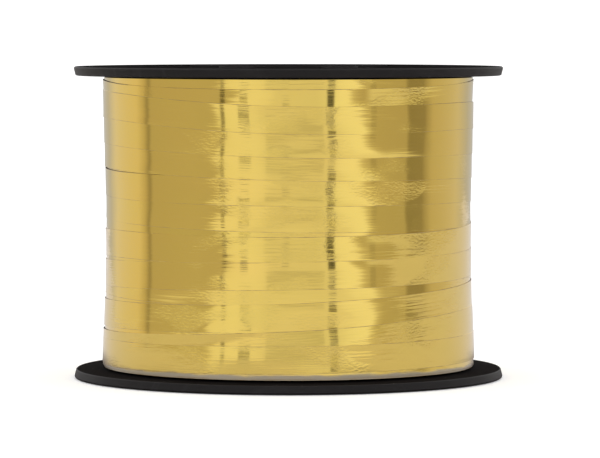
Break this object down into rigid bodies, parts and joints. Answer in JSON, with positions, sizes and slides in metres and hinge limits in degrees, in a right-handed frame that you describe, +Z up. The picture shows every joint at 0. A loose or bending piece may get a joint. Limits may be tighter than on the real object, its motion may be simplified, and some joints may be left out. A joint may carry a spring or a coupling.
{
  "type": "ribbon spool",
  "caption": "Flanged black plastic spool wound with narrow metallic gold curling ribbon, its free end taped down on the roll.",
  "frame": {"origin": "centre of the lower flange's outer face, on the spool's axis", "axes": "+Z up along the spool's axis; +Y towards the taped ribbon end, which is behind when the spool is seen from the front"},
  "size_m": [0.08, 0.08, 0.058],
  "materials": {
    "spool_plastic": "semi-gloss moulded polystyrene",
    "ribbon_film": "metallised gold film, mirror-like with fine creases",
    "clear_tape": "clear adhesive tape"
  },
  "bodies": {
    "root": {"lower_flange": "spool_plastic", "upper_flange": "spool_plastic", "core_barrel": "spool_plastic", "ribbon_start": "ribbon_film", "ribbon_pack": "ribbon_film", "ribbon_outer_layer": "ribbon_film", "ribbon_last_layer": "ribbon_film", "ribbon_tail": "ribbon_film", "end_tape": "clear_tape"}
  },
  "joints": []
}
